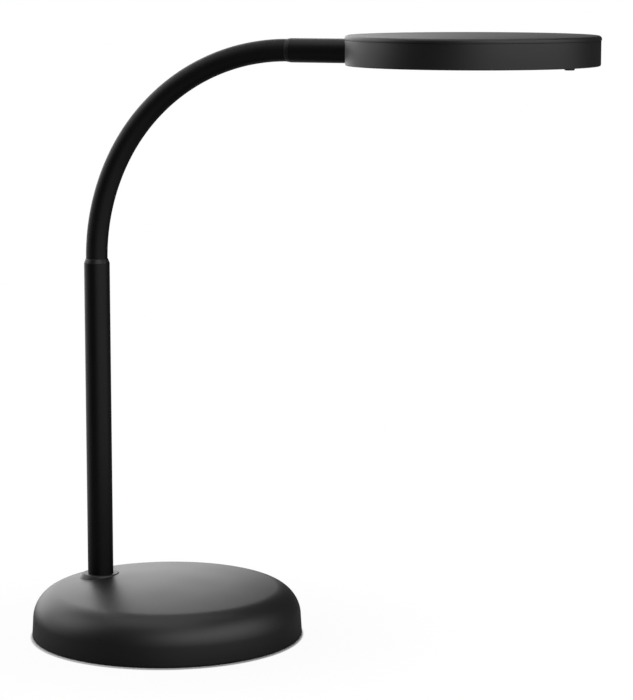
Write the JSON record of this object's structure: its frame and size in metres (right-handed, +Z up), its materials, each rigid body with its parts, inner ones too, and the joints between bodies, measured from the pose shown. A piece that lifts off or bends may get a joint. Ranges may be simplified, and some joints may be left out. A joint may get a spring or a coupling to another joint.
{
  "type": "gooseneck desk lamp",
  "caption": "Slim desk lamp: domed round base, off-centre post, flexible neck bent a quarter turn, and a flat disc-shaped LED head with a push dimmer under its far edge.",
  "frame": {"origin": "on the table, at the centre of the round base, on the foot pad's underside", "axes": "+Z up along the post, +X from the post over the base's centre towards the head, +Y to the left of someone looking along +X"},
  "size_m": [0.3654, 0.1734, 0.3843],
  "materials": {
    "satin_black_plastic": "satin moulded, black",
    "satin_black_metal": "satin black powder coat on steel",
    "neck_sheath": "satin black sheath over a steel coil",
    "cast_iron": "as cast",
    "coated_plate": "black coated sheet steel",
    "black_rubber": "fine grained",
    "zinc_steel": "zinc plated",
    "inlet_plastic": "moulded, with a nickel plated centre pin",
    "lead_jacket": "extruded jacket",
    "opal_plastic": "opal, translucent",
    "white_plastic": "moulded, white",
    "board_aluminium": "white solder mask on aluminium core",
    "led_phosphor": "yellow phosphor in a white package",
    "circuit_board": "green solder mask",
    "switch_plastic": "moulded"
  },
  "bodies": {
    "base": {"base_cover": "satin_black_plastic", "base_weight": "cast_iron", "base_plate": "coated_plate", "foot_pad": "black_rubber", "base_screws": "zinc_steel", "post_plug": "zinc_steel", "post_washer": "zinc_steel", "post_nut": "zinc_steel", "post_tube": "satin_black_metal", "neck_collar_lower": "satin_black_metal", "neck_end_lower": "neck_sheath", "dc_jack": "inlet_plastic", "jack_nut": "zinc_steel", "lead": "lead_jacket"},
    "neck_01": {"neck_link_01": "neck_sheath"},
    "neck_02": {"neck_link_02": "neck_sheath"},
    "neck_03": {"neck_link_03": "neck_sheath"},
    "neck_04": {"neck_link_04": "neck_sheath"},
    "neck_05": {"neck_link_05": "neck_sheath"},
    "neck_06": {"neck_link_06": "neck_sheath"},
    "neck_07": {"neck_link_07": "neck_sheath"},
    "neck_08": {"neck_link_08": "neck_sheath"},
    "neck_09": {"neck_link_09": "neck_sheath"},
    "neck_10": {"neck_link_10": "neck_sheath"},
    "neck_11": {"neck_link_11": "neck_sheath"},
    "head": {"neck_end_upper": "neck_sheath", "neck_collar_upper": "satin_black_metal", "stub_tube": "satin_black_metal", "stub_spigot": "zinc_steel", "spigot_screw": "zinc_steel", "head_housing": "satin_black_plastic", "head_cover": "satin_black_plastic", "led_board": "board_aluminium", "led_packages": "led_phosphor", "reflector_ring": "white_plastic", "diffuser": "opal_plastic", "driver_board": "circuit_board", "lead_connector": "white_plastic", "led_wires": "lead_jacket", "switch_wires": "lead_jacket", "switch_board": "circuit_board", "tact_switch": "switch_plastic", "head_screws": "zinc_steel"},
    "button": {"dimmer_button": "satin_black_plastic", "switch_plunger": "switch_plastic"}
  },
  "joints": [
    {"name": "neck_lower_bend", "type": "hinge", "parent": "base", "child": "neck_01", "pos_m": [-0.04673, 0, 0.24935], "axis": [0, 1, 0], "range_deg": [-15, 11], "deforming": ["lead"]},
    {"name": "neck_lower_swing", "type": "hinge", "parent": "neck_01", "child": "neck_02", "pos_m": [-0.04455, 0, 0.2665], "axis": [0.9822, 0, -0.1879], "range_deg": [-13, 13]},
    {"name": "neck_lower_bend_2", "type": "hinge", "parent": "neck_02", "child": "neck_03", "pos_m": [-0.04024, 0, 0.28325], "axis": [0, 1, 0], "range_deg": [-15, 11]},
    {"name": "neck_lower_swing_2", "type": "hinge", "parent": "neck_03", "child": "neck_04", "pos_m": [-0.03385, 0, 0.29933], "axis": [0.9043, 0, -0.427], "range_deg": [-13, 13]},
    {"name": "neck_lower_bend_3", "type": "hinge", "parent": "neck_04", "child": "neck_05", "pos_m": [-0.02548, 0, 0.31446], "axis": [0, 1, 0], "range_deg": [-15, 11]},
    {"name": "neck_lower_swing_3", "type": "hinge", "parent": "neck_05", "child": "neck_06", "pos_m": [-0.01519, 0, 0.32835], "axis": [0.7619, 0, -0.6476], "range_deg": [-13, 13]},
    {"name": "neck_upper_bend", "type": "hinge", "parent": "neck_06", "child": "neck_07", "pos_m": [-0.00313, 0, 0.34075], "axis": [0, 1, 0], "range_deg": [-15, 11]},
    {"name": "neck_upper_swing", "type": "hinge", "parent": "neck_07", "child": "neck_08", "pos_m": [0.01046, 0, 0.35144], "axis": [0.5644, 0, -0.8255], "range_deg": [-13, 13]},
    {"name": "neck_upper_bend_2", "type": "hinge", "parent": "neck_08", "child": "neck_09", "pos_m": [0.02535, 0, 0.36023], "axis": [0, 1, 0], "range_deg": [-15, 11]},
    {"name": "neck_upper_swing_2", "type": "hinge", "parent": "neck_09", "child": "neck_10", "pos_m": [0.04128, 0, 0.36696], "axis": [0.3271, 0, -0.945], "range_deg": [-13, 13]},
    {"name": "neck_upper_bend_3", "type": "hinge", "parent": "neck_10", "child": "neck_11", "pos_m": [0.05797, 0, 0.37152], "axis": [0, 1, 0], "range_deg": [-15, 11]},
    {"name": "neck_upper_swing_3", "type": "hinge", "parent": "neck_11", "child": "head", "pos_m": [0.07511, 0, 0.37382], "axis": [0.0666, 0, -0.9978], "range_deg": [-13, 13]},
    {"name": "button_press", "type": "slide", "parent": "head", "child": "button", "axis": [0, 0, 1], "range_m": [0, 0.001], "stiffness_N_per_m": 1500, "springref_m": -0.0005}
  ],
  "couplings": [
    {"joint": "neck_lower_bend_2", "follows": "neck_lower_bend", "ratio": 1},
    {"joint": "neck_lower_swing_2", "follows": "neck_lower_swing", "ratio": 1},
    {"joint": "neck_lower_bend_3", "follows": "neck_lower_bend", "ratio": 1},
    {"joint": "neck_lower_swing_3", "follows": "neck_lower_swing", "ratio": 1},
    {"joint": "neck_upper_bend_2", "follows": "neck_upper_bend", "ratio": 1},
    {"joint": "neck_upper_swing_2", "follows": "neck_upper_swing", "ratio": 1},
    {"joint": "neck_upper_bend_3", "follows": "neck_upper_bend", "ratio": 1},
    {"joint": "neck_upper_swing_3", "follows": "neck_upper_swing", "ratio": 1}
  ]
}
